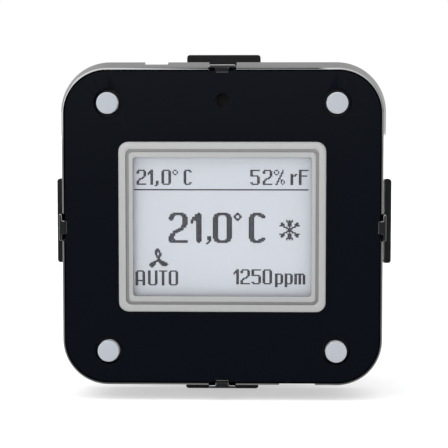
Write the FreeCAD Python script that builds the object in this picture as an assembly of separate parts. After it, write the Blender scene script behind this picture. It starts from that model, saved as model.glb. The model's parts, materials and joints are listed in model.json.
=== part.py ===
"""Room air monitor for a flush box: display, four key plungers, CO2 cell and humidity sensor.

Millimetres. +X is to the right, +Z is up, and the front faces -Y, so +Y points into the wall.
The origin is on the device's centre line, in the plane where the wings rest on the support ring.
"""
import FreeCAD
import Part
import math
import os

Vector = FreeCAD.Vector
INTO_WALL = Vector(0, 1, 0)

# Front plate
plate_width = 55.0
plate_height = 54.5
plate_corner = 7.5
plate_thickness = 1.5
plate_edge_chamfer = 0.15
front_height = 12.0            # mounting plane to the plate's front face

# Front shell, the flared wall round the plate
plate_fit = 0.05
rim_width = 0.35
rim_proud = 0.3
rim_chamfer = 0.28
flare_sides = 0.85             # how far the wall spreads from rim to rear edge
flare_ends = 1.15
shell_depth = 6.0              # plate front to the wall's rear edge
shell_wall = 1.45
ledge_width = 1.2
ledge_thickness = 1.2
top_notch_width = 4.1
top_notch_x = -11.7
top_notch_depth = 2.4
pry_notch_width = 6.3
pry_notch_x = 13.1
pry_notch_gap = 0.05

# Rear housing
ring_inset = 0.95              # housing ring inside the wall's rear edge
ring_wall = 1.3
spigot_height = 0.8
spigot_fit = 0.1
flange_thickness = 1.5
wing_reach = 2.4
wing_length_ends = 13.2
wing_length_sides = 15.2
wing_end_radius = 0.5
lower_wing_x = -0.3
side_wing_z = 0.4
box_size = 43.0
box_corner = 8.0
box_depth = 16.0
box_wall = 1.5
vent_width = 1.2
vent_pitch = 2.4
vent_margin = 1.0
vents_per_group = 4
vent_start = 10.6              # first vent's distance from the middle of its side
ridge_length = 8.0
ridge_height = 0.8
ridge_depth = 1.2
ridge_y = 3.0

# Latches
latch_width = 4.6
latch_thickness = 0.5
latch_gap = 0.45               # plate edge to the arm's inner face
latch_slot_clearance = 0.1
latch_root_gap = 0.1
nose_width = 2.3
nose_bite = 0.45
nose_thickness = 0.55
nose_lift = 0.05
nose_bevel = 0.25

# Display
display_rise = 0.1
frame_width = 36.0
frame_height = 29.6
frame_corner = 1.7
frame_proud = 1.0
frame_fit = 0.05
frame_edge_chamfer = 0.3
outer_ring = 1.25
groove_width = 0.5
groove_depth = 0.55
inner_ring_drop = 0.25
view_width = 31.0
view_height = 24.2
view_corner = 0.5
frame_wall = 1.0
frame_pocket_roof = 1.1        # frame front to the pocket's roof
frame_flange = 1.0
frame_flange_thickness = 0.8
glass_fit = 0.1
window_gap = 0.05
window_thickness = 0.7
gasket_thickness = 0.4
gasket_gap = 0.2
polariser_thickness = 0.2
polariser_gap = 0.1
glass_thickness = 0.6
glass_ledge = 1.0
guide_thickness = 1.8
reflector_thickness = 0.2
holder_floor = 0.6
led_length = 3.0
led_width = 1.5
led_height = 1.5
led_count = 3
led_pitch = 8.0
led_gap = 0.1
flex_width = 14.0
flex_thickness = 0.2
flex_slot_clearance = 0.5

# Keys
key_inset_x = 7.65             # plate edge to key centre
key_inset_z = 5.65
key_radius = 1.86
key_hole_clearance = 0.59
key_hole_chamfer = 0.2
key_proud = 1.5
key_edge_chamfer = 0.18
collar_overlap = 0.75          # collar beyond the hole it can't pass
collar_thickness = 0.8
collar_gap = 0.3
guide_clearance = 0.08
guide_wall = 0.8
guide_length = 1.7
stem_radius = 1.5
key_travel = 0.6
switch_size = 6.0
switch_height = 2.2
switch_button_radius = 1.6
switch_button_proud = 0.8
switch_button_inside = 0.7
switch_bore_clearance = 0.1
switch_bore_spare = 0.3        # bore left under the pressed button

# Air port and humidity sensor
port_x = 0.14
port_inset_z = 5.25            # plate's top edge to the port
port_radius = 1.25
port_chamfer = 0.15
sensor_size = 2.5
sensor_height = 0.9
tube_inner_radius = 1.95
tube_wall = 0.8

# Boards
board_thickness = 1.6
display_board_gap = 1.4        # board edge to the housing ring
holder_foot = 0.75             # display holder's floor to the board
post_radius = 2.2
screw_hole_radius = 0.8
board_hole_radius = 1.1
screw_shank_radius = 0.75
screw_head_radius = 1.8
screw_head_height = 1.0
screw_depth = 2.4
screw_tip_gap = 0.2
screw_slot = 0.35
display_post_x = 10.0
display_post_inset = 2.85
bus_board_gap = 0.75
bus_board_stand = 5.4          # bus board to the box floor
bus_post_inset = 4.75
controller_size = 9.0
controller_height = 1.2
controller_x = 11.0
controller_z = 9.0
chip_height = 1.0
display_chips = [(5.0, 4.0, -10.0, 10.0), (3.0, 3.0, -10.0, 2.0)]    # width, height, x, z
bus_chips = [(6.0, 5.0, 0.0, 6.0)]
header_count = 5
header_rows = 2
header_pitch = 2.54
header_inset = 0.4
header_base = 2.5
header_pin = 0.64
header_hole_clearance = 0.08
socket_gap = 1.1
header_pin_reach = 6.0
capacitor_radius = 3.1
capacitor_height = 5.0
inductor_size = 7.0
inductor_height = 3.5
bus_part_inset_x = 3.5         # post to capacitor and choke
bus_part_inset_z = 7.5

# Bus connector
pin_pitch = 5.75
pin_radius = 0.5
pin_shank = 0.64               # square part inside the connector
pin_hole_clearance = 0.05
pin_outside = 4.0
pin_tail = 0.5
connector_width = 12.0
connector_height = 6.0
connector_recess = 1.0
connector_fit = 0.1
connector_z = -9.0

# CO2 cell
cell_z = 4.0
cell_board_margin = 4.0        # box wall to the cell's board
cell_board_height = 20.0
cell_board_thickness = 1.0
cell_board_gap = 2.3
cell_header_width = 2.5
cell_header_height = 10.0
cell_header_drop = 3.0
cell_length = 20.0
cell_height = 12.0
cell_depth = 5.0
cell_bore_radius = 1.6
lamp_radius = 1.5
lamp_length = 4.0
lamp_cap_radius = 2.2
lamp_cap_length = 1.5
detector_size = 4.6
detector_depth = 4.2
cell_slot_length = 12.0
cell_slot_width = 1.0
cell_slot_pitch = 2.6
cell_slot_count = 3
membrane_width = 14.0
membrane_height = 8.0
membrane_thickness = 0.2

# Worked out from the sizes above
plate_front = -front_height
plate_back = plate_front + plate_thickness
shell_front = plate_front - rim_proud
shell_back = plate_front + shell_depth
recess_width = plate_width + 2 * plate_fit
recess_height = plate_height + 2 * plate_fit
recess_corner = plate_corner + plate_fit
lip_width = recess_width + 2 * rim_width
lip_height = recess_height + 2 * rim_width
lip_corner = recess_corner + rim_width
wall_width = lip_width + 2 * flare_sides
wall_height = lip_height + 2 * flare_ends
wall_corner = lip_corner + min(flare_sides, flare_ends)
ring_width = wall_width - 2 * ring_inset
ring_height = wall_height - 2 * ring_inset
ring_corner = wall_corner - ring_inset
ring_inner_width = ring_width - 2 * ring_wall
ring_inner_height = ring_height - 2 * ring_wall
ring_inner_corner = ring_corner - ring_wall
flange_front = -flange_thickness
box_back = box_depth
box_floor = box_back - box_wall
box_inner = box_size - 2 * box_wall
box_inner_corner = box_corner - box_wall
frame_front = plate_front - frame_proud
pocket_roof = frame_front + frame_pocket_roof
frame_back = plate_back + frame_flange_thickness
pocket_width = frame_width - 2 * frame_wall
pocket_height = frame_height - 2 * frame_wall
glass_width = pocket_width - 2 * glass_fit
glass_height = pocket_height - 2 * glass_fit
window_front = pocket_roof + window_gap
window_back = window_front + window_thickness
front_glass_front = window_back + gasket_thickness
front_glass_back = front_glass_front + glass_thickness
rear_glass_back = front_glass_back + glass_thickness
guide_back = rear_glass_back + guide_thickness
reflector_back = guide_back + reflector_thickness
holder_width = frame_width + 2 * frame_flange
holder_height = frame_height + 2 * frame_flange
display_board_width = ring_inner_width - 2 * display_board_gap
display_board_height = ring_inner_height - 2 * display_board_gap
display_board_corner = ring_inner_corner - display_board_gap / 2
display_board_front = reflector_back + holder_floor + holder_foot
display_board_back = display_board_front + board_thickness
display_post_z = display_board_height / 2 - display_post_inset
bus_board_size = box_inner - 2 * bus_board_gap
bus_board_corner = box_inner_corner - bus_board_gap / 2
bus_board_back = box_floor - bus_board_stand
bus_board_front = bus_board_back - board_thickness
bus_post_spread = bus_board_size / 2 - bus_post_inset
bus_part_x = bus_post_spread - bus_part_inset_x
bus_part_z = bus_post_spread - bus_part_inset_z
cell_board_width = box_inner - 2 * cell_board_margin
header_z = header_inset + header_rows * header_pitch / 2 - bus_board_size / 2
key_x = plate_width / 2 - key_inset_x
key_z = plate_height / 2 - key_inset_z
key_hole_radius = key_radius + key_hole_clearance
collar_radius = key_hole_radius + collar_overlap
port_z = plate_height / 2 - port_inset_z
collar_front = plate_back + collar_gap
collar_back = collar_front + collar_thickness
switch_front = display_board_front - switch_height
button_front = switch_front - switch_button_proud
switch_bore_depth = switch_button_inside + key_travel + switch_bore_spare
cell_board_back = bus_board_front - cell_board_gap
cell_board_front = cell_board_back - cell_board_thickness
cell_front = cell_board_front - cell_depth
connector_back = box_back - connector_recess
pin_hole = pin_shank + 2 * pin_hole_clearance

CORNERS = {"top_left": (-1, 1), "top_right": (1, 1), "bottom_left": (-1, -1), "bottom_right": (1, -1)}
SIDES = {"top": (0, 1), "right": (1, 0), "bottom": (0, -1), "left": (-1, 0)}


def outline(width, height, radius, y, x=0.0, z=0.0):
    """Rounded rectangle at depth y, centred on x and z."""
    arcs = []
    for quarter, (side_x, side_z) in enumerate([(1, 1), (-1, 1), (-1, -1), (1, -1)]):
        centre_x = x + side_x * (width / 2 - radius)
        centre_z = z + side_z * (height / 2 - radius)
        points = []
        for step in (0, 0.5, 1):
            angle = (quarter + step) * math.pi / 2
            points.append(Vector(centre_x + radius * math.cos(angle), y, centre_z + radius * math.sin(angle)))
        arcs.append(points)
    edges = []
    for index, points in enumerate(arcs):
        edges.append(Part.Arc(*points).toShape())
        edges.append(Part.makeLine(points[2], arcs[(index + 1) % 4][0]))
    return Part.Wire(edges)


def block(width, height, radius, front, back, x=0.0, z=0.0):
    """Rounded rectangle extruded from front to back."""
    return Part.Face(outline(width, height, radius, front, x, z)).extrude(Vector(0, back - front, 0))


def taper(front_sizes, front, back_sizes, back, x=0.0, z=0.0):
    """Solid between two rounded rectangles, each given as width, height and radius."""
    wires = [outline(*front_sizes, front, x, z), outline(*back_sizes, back, x, z)]
    return Part.makeLoft(wires, True, True)


def bevelled_block(width, height, radius, front, back, bevel, x=0.0, z=0.0):
    """Rounded rectangle with a bevel round its front face."""
    tip = taper((width - 2 * bevel, height - 2 * bevel, radius - bevel), front,
                (width, height, radius), front + bevel, x, z)
    return tip.fuse(block(width, height, radius, front + bevel, back, x, z)).removeSplitter()


def box(x0, x1, front, back, z0, z1):
    return Part.makeBox(x1 - x0, back - front, z1 - z0, Vector(x0, front, z0))


def centred_box(width, height, front, back, x=0.0, z=0.0):
    return box(x - width / 2, x + width / 2, front, back, z - height / 2, z + height / 2)


def rod(radius, front, back, x=0.0, z=0.0):
    return Part.makeCylinder(radius, back - front, Vector(x, front, z), INTO_WALL)


def cone(front_radius, back_radius, front, back, x=0.0, z=0.0):
    return Part.makeCone(front_radius, back_radius, back - front, Vector(x, front, z), INTO_WALL)


def side_span(side, low, high, half_length, shift=0.0):
    """x0, x1, z0, z1 of a region from low to high out from the centre, on one side."""
    x, z = SIDES[side]
    near, far = min(low * (x + z), high * (x + z)), max(low * (x + z), high * (x + z))
    if x:
        return near, far, shift - half_length, shift + half_length
    return shift - half_length, shift + half_length, near, far


def side_box(side, low, high, half_length, front, back, shift=0.0):
    x0, x1, z0, z1 = side_span(side, low, high, half_length, shift)
    return box(x0, x1, front, back, z0, z1)


def half_size(side, width, height):
    return width / 2 if SIDES[side][0] else height / 2


def save(name, *solids):
    shape = solids[0] if len(solids) == 1 else Part.makeCompound(list(solids))
    shape.exportStep("parts/" + name + ".step")


def key_places():
    for name, (side_x, side_z) in CORNERS.items():
        yield name, side_x * key_x, side_z * key_z


def make_front_plate():
    plate = bevelled_block(plate_width, plate_height, plate_corner, plate_front, plate_back,
                           plate_edge_chamfer)
    window = block(frame_width + 2 * frame_fit, frame_height + 2 * frame_fit, frame_corner + frame_fit,
                   plate_front - 1, plate_back + 1, 0, display_rise)
    plate = plate.cut(window)
    for _, x, z in key_places():
        guide = rod(collar_radius + guide_clearance + guide_wall, plate_back, plate_back + guide_length, x, z)
        plate = plate.fuse(guide)
    for _, x, z in key_places():
        hole = rod(key_hole_radius, plate_front - 1, plate_back + 1, x, z)
        lead = cone(key_hole_radius + key_hole_chamfer, key_hole_radius,
                    plate_front, plate_front + key_hole_chamfer, x, z)
        bore = rod(collar_radius + guide_clearance, plate_back, plate_back + guide_length + 1, x, z)
        plate = plate.cut(hole).cut(lead).cut(bore)
    port = rod(port_radius, plate_front - 1, plate_back + 1, port_x, port_z)
    port_lead = cone(port_radius + port_chamfer, port_radius, plate_front, plate_front + port_chamfer,
                     port_x, port_z)
    save("front_plate", plate.cut(port).cut(port_lead).removeSplitter())


def make_front_shell():
    rim_width_front = lip_width - 2 * rim_chamfer
    rim_height_front = lip_height - 2 * rim_chamfer
    tip = taper((rim_width_front, rim_height_front, lip_corner - rim_chamfer), shell_front,
                (lip_width, lip_height, lip_corner), shell_front + rim_chamfer)
    wall = taper((lip_width, lip_height, lip_corner), shell_front + rim_chamfer,
                 (wall_width, wall_height, wall_corner), shell_back)
    shell = tip.fuse(wall)
    recess = block(recess_width, recess_height, recess_corner, shell_front - 1, plate_back)
    opening = block(recess_width - 2 * ledge_width, recess_height - 2 * ledge_width,
                    recess_corner - ledge_width, plate_back - 1, shell_back + 1)
    void = block(wall_width - 2 * shell_wall, wall_height - 2 * shell_wall, wall_corner - shell_wall,
                 plate_back + ledge_thickness, shell_back + 1)
    shell = shell.cut(recess).cut(opening).cut(void)
    for side in SIDES:
        edge = half_size(side, recess_width, recess_height)
        reach = edge + wall_width
        slot = side_box(side, edge, reach, latch_width / 2 + latch_slot_clearance,
                        shell_front - 1, shell_back + 1)
        shell = shell.cut(slot)
    notch = side_box("top", wall_height / 2 - shell_wall - 1, wall_height, top_notch_width / 2,
                     shell_back - top_notch_depth, shell_back + 1, top_notch_x)
    pry = side_box("bottom", recess_height / 2 + pry_notch_gap, wall_height, pry_notch_width / 2,
                   shell_front - 1, shell_back + 1, pry_notch_x)
    save("front_shell", shell.cut(notch).cut(pry).removeSplitter())


def wing(side):
    ring_half = half_size(side, ring_width, ring_height)
    length = wing_length_sides if SIDES[side][0] else wing_length_ends
    shift = {"bottom": lower_wing_x, "left": side_wing_z, "right": side_wing_z}.get(side, 0.0)
    x0, x1, z0, z1 = side_span(side, ring_half - ring_wall, ring_half + wing_reach, length / 2, shift)
    return block(x1 - x0, z1 - z0, wing_end_radius, flange_front, 0, (x0 + x1) / 2, (z0 + z1) / 2)


def housing_vents(side):
    ring_half = half_size(side, ring_width, ring_height)
    cuts = []
    for direction in (-1, 1):
        for number in range(vents_per_group):
            shift = direction * (vent_start + number * vent_pitch)
            cuts.append(side_box(side, ring_half - ring_wall - 1, ring_half + 1, vent_width / 2,
                                 shell_back + vent_margin, flange_front - vent_margin, shift))
    return cuts


def make_rear_housing():
    housing = block(ring_width, ring_height, ring_corner, shell_back, 0)
    spigot_width = wall_width - 2 * shell_wall - 2 * spigot_fit
    spigot_high = wall_height - 2 * shell_wall - 2 * spigot_fit
    spigot = block(spigot_width, spigot_high, wall_corner - shell_wall - spigot_fit,
                   shell_back - spigot_height, shell_back)
    housing = housing.fuse(spigot)
    housing = housing.fuse(block(box_size, box_size, box_corner, flange_front, box_back))
    for side in SIDES:
        housing = housing.fuse(wing(side))
    housing = housing.cut(block(ring_inner_width, ring_inner_height, ring_inner_corner,
                                shell_back - spigot_height - 1, flange_front))
    housing = housing.cut(block(box_inner, box_inner, box_inner_corner, flange_front - 1, box_floor))
    for side in SIDES:
        channel = half_size(side, plate_width, plate_height) + latch_gap - latch_slot_clearance
        housing = housing.cut(side_box(side, channel, channel + latch_gap + latch_thickness,
                                       latch_width / 2 + latch_slot_clearance,
                                       shell_back - spigot_height - 1, flange_front))
        for vent in housing_vents(side):
            housing = housing.cut(vent)
    for side_x in (-1, 1):
        for side_z in (-1, 1):
            x, z = side_x * display_post_x, side_z * display_post_z
            post = rod(post_radius, display_board_back, flange_front, x, z)
            pilot = rod(screw_hole_radius, display_board_back - 1, display_board_back + screw_depth, x, z)
            housing = housing.fuse(post).cut(pilot)
            x, z = side_x * bus_post_spread, side_z * bus_post_spread
            post = rod(post_radius, bus_board_back, box_floor, x, z)
            pilot = rod(screw_hole_radius, bus_board_back - 1, bus_board_back + screw_depth, x, z)
            housing = housing.fuse(post).cut(pilot)
    for side in ("left", "right"):
        ridge = side_box(side, box_size / 2 - box_wall / 2, box_size / 2 + ridge_height, ridge_length / 2,
                         ridge_y, ridge_y + ridge_depth)
        housing = housing.fuse(ridge)
    window = centred_box(connector_width + 2 * connector_fit, connector_height + 2 * connector_fit,
                         box_floor - 1, box_back + 1, 0, connector_z)
    save("rear_housing", housing.cut(window).removeSplitter())


def make_latch(side):
    """Arm beside the plate's edge with a nose that reaches over the plate."""
    edge = half_size(side, plate_width, plate_height)
    inner = edge + latch_gap
    arm_front = plate_front - nose_lift - nose_thickness
    arm = side_box(side, inner, inner + latch_thickness, latch_width / 2, arm_front,
                   flange_front - latch_root_gap)
    nose = side_box(side, edge - nose_bite, inner, nose_width / 2, arm_front, plate_front - nose_lift)
    x, z = SIDES[side]
    out = Vector(x, 0, z)
    along = Vector(abs(z), 0, abs(x))
    tip = out * (edge - nose_bite) - along * nose_width + Vector(0, arm_front, 0)
    bevel_points = [tip, tip + Vector(0, nose_bevel, 0), tip + out * (2 * nose_bevel), tip]
    bevel = Part.Face(Part.makePolygon(bevel_points)).extrude(along * (2 * nose_width))
    save("latch_" + side, arm.fuse(nose).cut(bevel).removeSplitter())


def make_display_frame():
    body = bevelled_block(frame_width, frame_height, frame_corner, frame_front, plate_back,
                          frame_edge_chamfer, 0, display_rise)
    flange = block(holder_width, holder_height, frame_corner + frame_flange, plate_back, frame_back,
                   0, display_rise)
    inner_width = frame_width - 2 * outer_ring
    inner_height = frame_height - 2 * outer_ring
    inner_corner = max(frame_corner - outer_ring, view_corner) + groove_width
    groove = block(inner_width, inner_height, inner_corner, frame_front - 1, frame_front + groove_depth,
                   0, display_rise)
    island = block(inner_width - 2 * groove_width, inner_height - 2 * groove_width,
                   inner_corner - groove_width / 2, frame_front + inner_ring_drop,
                   frame_front + groove_depth, 0, display_rise)
    view = block(view_width, view_height, view_corner, frame_front - 1, pocket_roof + 1, 0, display_rise)
    pocket = centred_box(pocket_width, pocket_height, pocket_roof, frame_back + 1, 0, display_rise)
    relief_half = flex_width / 2 + flex_slot_clearance
    pocket_low = display_rise - pocket_height / 2
    relief = box(-relief_half, relief_half, front_glass_back - flex_thickness - glass_fit, frame_back + 1,
                 pocket_low - flex_thickness, pocket_low + glass_fit)
    frame = body.fuse(flange).cut(groove).fuse(island).cut(view).cut(pocket).cut(relief)
    save("display_frame", frame.removeSplitter())


def make_display_stack():
    """Window, gasket, liquid crystal cell, light guide and reflector, front to back."""
    z = display_rise
    save("display_window", centred_box(glass_width, glass_height, window_front, window_back, 0, z))
    gasket = centred_box(glass_width, glass_height, window_back, front_glass_front, 0, z)
    gasket_hole = centred_box(view_width + 2 * gasket_gap, view_height + 2 * gasket_gap,
                              window_back - 1, front_glass_front + 1, 0, z)
    save("display_gasket", gasket.cut(gasket_hole))
    save("lcd_polariser", centred_box(view_width + 2 * (gasket_gap - polariser_gap),
                                      view_height + 2 * (gasket_gap - polariser_gap),
                                      front_glass_front - polariser_thickness, front_glass_front, 0, z))
    save("lcd_front_glass", centred_box(glass_width, glass_height - glass_ledge, front_glass_front,
                                        front_glass_back, 0, z + glass_ledge / 2))
    save("lcd_rear_glass", centred_box(glass_width, glass_height, front_glass_back, rear_glass_back, 0, z))
    low = -glass_width / 2
    guide_left = low + led_width + led_gap
    save("light_guide", box(guide_left, glass_width / 2, rear_glass_back, guide_back,
                            z - glass_height / 2, z + glass_height / 2))
    save("light_reflector", centred_box(glass_width, glass_height, guide_back, reflector_back, 0, z))
    leds = []
    for number in range(led_count):
        led_z = z + (number - (led_count - 1) / 2) * led_pitch
        leds.append(box(low, low + led_width, guide_back - led_height, guide_back,
                        led_z - led_length / 2, led_z + led_length / 2))
    save("backlight_leds", *leds)


def make_lcd_holder():
    z = display_rise
    tray = block(holder_width, holder_height, frame_corner, frame_back, display_board_front, 0, z)
    well = centred_box(pocket_width, pocket_height, frame_back - 1, reflector_back, 0, z)
    under = centred_box(pocket_width, pocket_height, reflector_back + holder_floor,
                        display_board_front + 1, 0, z)
    slot_half = flex_width / 2 + flex_slot_clearance
    slot_top = z - glass_height / 2
    slot = box(-slot_half, slot_half, frame_back - 1, display_board_front + 1,
               slot_top - 2 * flex_slot_clearance, slot_top)
    save("lcd_holder", tray.cut(well).cut(under).cut(slot))


def make_lcd_flex():
    """Thin film from the glass ledge down to the display board."""
    ledge_low = display_rise - glass_height / 2
    film_front = front_glass_back - flex_thickness
    tab = box(-flex_width / 2, flex_width / 2, film_front, front_glass_back, ledge_low - flex_thickness,
              ledge_low + glass_ledge - 2 * window_gap)
    drop = box(-flex_width / 2, flex_width / 2, film_front, display_board_front,
               ledge_low - flex_thickness, ledge_low)
    save("lcd_flex", tab.fuse(drop).removeSplitter())


def make_key(name, x, z):
    tip_front = plate_front - key_proud
    tip = cone(key_radius - key_edge_chamfer, key_radius, tip_front, tip_front + key_edge_chamfer, x, z)
    shaft = rod(key_radius, tip_front + key_edge_chamfer, collar_front, x, z)
    collar = rod(collar_radius, collar_front, collar_back, x, z)
    stem = rod(stem_radius, collar_back, button_front, x, z)
    key = tip.fuse(shaft).fuse(collar).fuse(stem)
    save("key_" + name, key.removeSplitter())
    save("switch_button_" + name,
         rod(switch_button_radius, button_front, switch_front + switch_button_inside, x, z))


def make_switch_bodies():
    bodies = []
    for _, x, z in key_places():
        body = centred_box(switch_size, switch_size, switch_front, display_board_front, x, z)
        bore = rod(switch_button_radius + switch_bore_clearance, switch_front - 1,
                   switch_front + switch_bore_depth, x, z)
        bodies.append(body.cut(bore))
    save("switch_bodies", *bodies)


def screw(x, z, board_front):
    head = rod(screw_head_radius, board_front - screw_head_height, board_front, x, z)
    slot = centred_box(2 * screw_head_radius, screw_slot, board_front - screw_head_height - 1,
                       board_front - screw_head_height / 2, x, z)
    tip = board_front + board_thickness + screw_depth - screw_tip_gap
    shank = rod(screw_shank_radius, board_front, tip, x, z)
    return head.cut(slot).fuse(shank).removeSplitter()


def screw_places():
    for side_x in (-1, 1):
        for side_z in (-1, 1):
            yield side_x * display_post_x, side_z * display_post_z, display_board_front
            yield side_x * bus_post_spread, side_z * bus_post_spread, bus_board_front


def make_boards():
    display_board = block(display_board_width, display_board_height, display_board_corner,
                          display_board_front, display_board_back)
    bus_board = block(bus_board_size, bus_board_size, bus_board_corner, bus_board_front, bus_board_back)
    screws = []
    for x, z, board_front in screw_places():
        screws.append(screw(x, z, board_front))
        hole = rod(board_hole_radius, board_front - 1, board_front + board_thickness + 1, x, z)
        if board_front == display_board_front:
            display_board = display_board.cut(hole)
        else:
            bus_board = bus_board.cut(hole)
    for side in (-1, 1):
        bus_board = bus_board.cut(centred_box(pin_hole, pin_hole, bus_board_front - 1, bus_board_back + 1,
                                              side * pin_pitch / 2, connector_z))
    save("display_board", display_board)
    save("bus_board", bus_board)
    save("board_screws", *screws)


def make_board_parts():
    """Chips, capacitor and choke on the two boards."""
    save("microcontroller", centred_box(controller_size, controller_size, display_board_back,
                                        display_board_back + controller_height, controller_x, controller_z))
    chips = []
    for places, board_back in ((display_chips, display_board_back), (bus_chips, bus_board_back)):
        for width, height, x, z in places:
            chips.append(centred_box(width, height, board_back, board_back + chip_height, x, z))
    save("board_chips", *chips)
    save("capacitor", rod(capacitor_radius, bus_board_back, bus_board_back + capacitor_height,
                          -bus_part_x, bus_part_z))
    save("choke", block(inductor_size, inductor_size, inductor_size / 5, bus_board_back,
                        bus_board_back + inductor_height, bus_part_x, bus_part_z))


def header_places():
    for row in range(header_rows):
        for column in range(header_count):
            yield ((column - (header_count - 1) / 2) * header_pitch,
                   header_z + (row - (header_rows - 1) / 2) * header_pitch)


def make_board_link():
    """Pin strip on the bus board and socket strip on the display board."""
    base_front = bus_board_front - header_base
    width = header_count * header_pitch
    height = header_rows * header_pitch
    header = centred_box(width, height, base_front, bus_board_front, 0, header_z)
    socket_back = base_front - socket_gap
    socket = centred_box(width, height, display_board_back, socket_back, 0, header_z)
    pin_front = base_front - header_pin_reach
    hole = header_pin + 2 * header_hole_clearance
    for x, z in header_places():
        header = header.fuse(centred_box(header_pin, header_pin, pin_front, base_front, x, z))
        socket = socket.cut(centred_box(hole, hole, pin_front - header_hole_clearance, socket_back + 1, x, z))
    save("board_header", header)
    save("board_socket", socket)


def make_bus_connector():
    body = centred_box(connector_width, connector_height, bus_board_back, connector_back, 0, connector_z)
    pins = []
    for side in (-1, 1):
        x = side * pin_pitch / 2
        body = body.cut(centred_box(pin_hole, pin_hole, bus_board_back - 1, connector_back + 1,
                                    x, connector_z))
        tip_front = connector_back + pin_outside - pin_radius
        tip = cone(pin_radius, pin_radius / 2, tip_front, tip_front + pin_radius, x, connector_z)
        blade = rod(pin_radius, connector_back, tip_front, x, connector_z)
        shank = centred_box(pin_shank, pin_shank, bus_board_front - pin_tail, connector_back,
                            x, connector_z)
        pins.append(shank.fuse(blade).fuse(tip).removeSplitter())
    save("bus_connector", body)
    save("bus_pins", *pins)


def make_air_port():
    tube = rod(tube_inner_radius + tube_wall, plate_back, display_board_front, port_x, port_z)
    tube = tube.cut(rod(tube_inner_radius, plate_back - 1, display_board_front + 1, port_x, port_z))
    save("sensor_tube", tube)
    save("humidity_sensor", centred_box(sensor_size, sensor_size, display_board_front - sensor_height,
                                        display_board_front, port_x, port_z))


def make_co2_cell():
    """Infrared cell on its own small board, over the bus board."""
    board = centred_box(cell_board_width, cell_board_height, cell_board_front, cell_board_back, 0, cell_z)
    save("co2_board", board)
    headers = []
    for side in (-1, 1):
        x = side * (cell_board_width / 2 - cell_header_width / 2)
        headers.append(centred_box(cell_header_width, cell_header_height, cell_board_back, bus_board_front,
                                   x, cell_z - cell_header_drop))
    save("co2_headers", *headers)
    chamber = centred_box(cell_length, cell_height, cell_front, cell_board_front, 0, cell_z)
    axis_y = (cell_front + cell_board_front) / 2
    along = Vector(1, 0, 0)
    bore_start = Vector(-cell_length / 2 - 1, axis_y, cell_z)
    bore = Part.makeCylinder(cell_bore_radius, cell_length + 2, bore_start, along)
    chamber = chamber.cut(bore)
    for number in range(cell_slot_count):
        slot_z = cell_z + (number - (cell_slot_count - 1) / 2) * cell_slot_pitch
        slot_back = axis_y if slot_z == cell_z else axis_y - cell_bore_radius / 2
        slot = centred_box(cell_slot_length, cell_slot_width, cell_front - 1, slot_back, 0, slot_z)
        chamber = chamber.cut(slot)
    save("co2_chamber", chamber)
    lamp_end = -cell_length / 2
    bulb = Part.makeCylinder(lamp_radius, lamp_length, Vector(lamp_end, axis_y, cell_z), along)
    cap = Part.makeCylinder(lamp_cap_radius, lamp_cap_length,
                            Vector(lamp_end - lamp_cap_length, axis_y, cell_z), along)
    save("co2_lamp", bulb.fuse(cap).removeSplitter())
    detector_x = cell_length / 2
    save("co2_detector", box(detector_x, detector_x + detector_size, cell_board_front - detector_depth,
                             cell_board_front, cell_z - detector_size / 2, cell_z + detector_size / 2))
    save("co2_membrane", centred_box(membrane_width, membrane_height, cell_front - membrane_thickness,
                                     cell_front, 0, cell_z))


os.makedirs("parts", exist_ok=True)
make_front_plate()
make_front_shell()
make_rear_housing()
for latch_side in SIDES:
    make_latch(latch_side)
make_display_frame()
make_display_stack()
make_lcd_holder()
make_lcd_flex()
for key_name, place_x, place_z in key_places():
    make_key(key_name, place_x, place_z)
make_switch_bodies()
make_boards()
make_board_parts()
make_board_link()
make_bus_connector()
make_air_port()
make_co2_cell()
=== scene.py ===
"""Visible pieces, finishes and stage of a flush-mounted room air monitor, set round its CAD frame.

Lengths are in metres. +X is to the right, +Z is up, and the front faces -Y.
"""

import json
import math

import bmesh
import bpy
from bpy.props import FloatProperty, FloatVectorProperty, IntProperty, PointerProperty
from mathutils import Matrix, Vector


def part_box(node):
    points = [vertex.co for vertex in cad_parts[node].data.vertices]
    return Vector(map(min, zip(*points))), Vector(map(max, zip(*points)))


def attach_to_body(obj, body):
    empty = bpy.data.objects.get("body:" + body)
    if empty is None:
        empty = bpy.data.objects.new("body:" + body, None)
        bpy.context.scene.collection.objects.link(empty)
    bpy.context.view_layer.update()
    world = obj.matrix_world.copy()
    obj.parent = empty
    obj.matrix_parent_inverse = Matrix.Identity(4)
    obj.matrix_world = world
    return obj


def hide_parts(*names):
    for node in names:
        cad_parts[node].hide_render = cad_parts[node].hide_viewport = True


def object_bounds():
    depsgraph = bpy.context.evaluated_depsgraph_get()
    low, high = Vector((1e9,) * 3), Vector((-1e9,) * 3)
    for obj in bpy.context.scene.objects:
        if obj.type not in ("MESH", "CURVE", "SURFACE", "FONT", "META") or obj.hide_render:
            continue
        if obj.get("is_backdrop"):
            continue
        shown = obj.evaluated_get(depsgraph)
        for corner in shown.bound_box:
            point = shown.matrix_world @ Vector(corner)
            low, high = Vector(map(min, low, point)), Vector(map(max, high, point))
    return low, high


bl_info = {
    "name": "Room air monitor",
    "version": (1, 0, 0),
    "blender": (4, 5, 0),
    "location": "View3D > Sidebar > Air Monitor",
    "description": "Builds the air monitor's visible pieces, finishes and stage",
    "category": "Object",
}

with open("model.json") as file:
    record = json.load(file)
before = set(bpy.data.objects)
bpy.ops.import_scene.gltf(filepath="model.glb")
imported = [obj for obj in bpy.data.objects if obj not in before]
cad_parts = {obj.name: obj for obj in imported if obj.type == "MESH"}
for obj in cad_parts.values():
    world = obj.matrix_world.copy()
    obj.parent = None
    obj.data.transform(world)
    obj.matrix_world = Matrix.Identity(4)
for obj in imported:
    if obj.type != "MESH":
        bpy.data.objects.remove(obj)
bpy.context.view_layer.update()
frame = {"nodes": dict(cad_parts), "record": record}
slot_of = {part["node"]: part["material_slot"] for part in frame["record"]["subparts"]}

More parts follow.
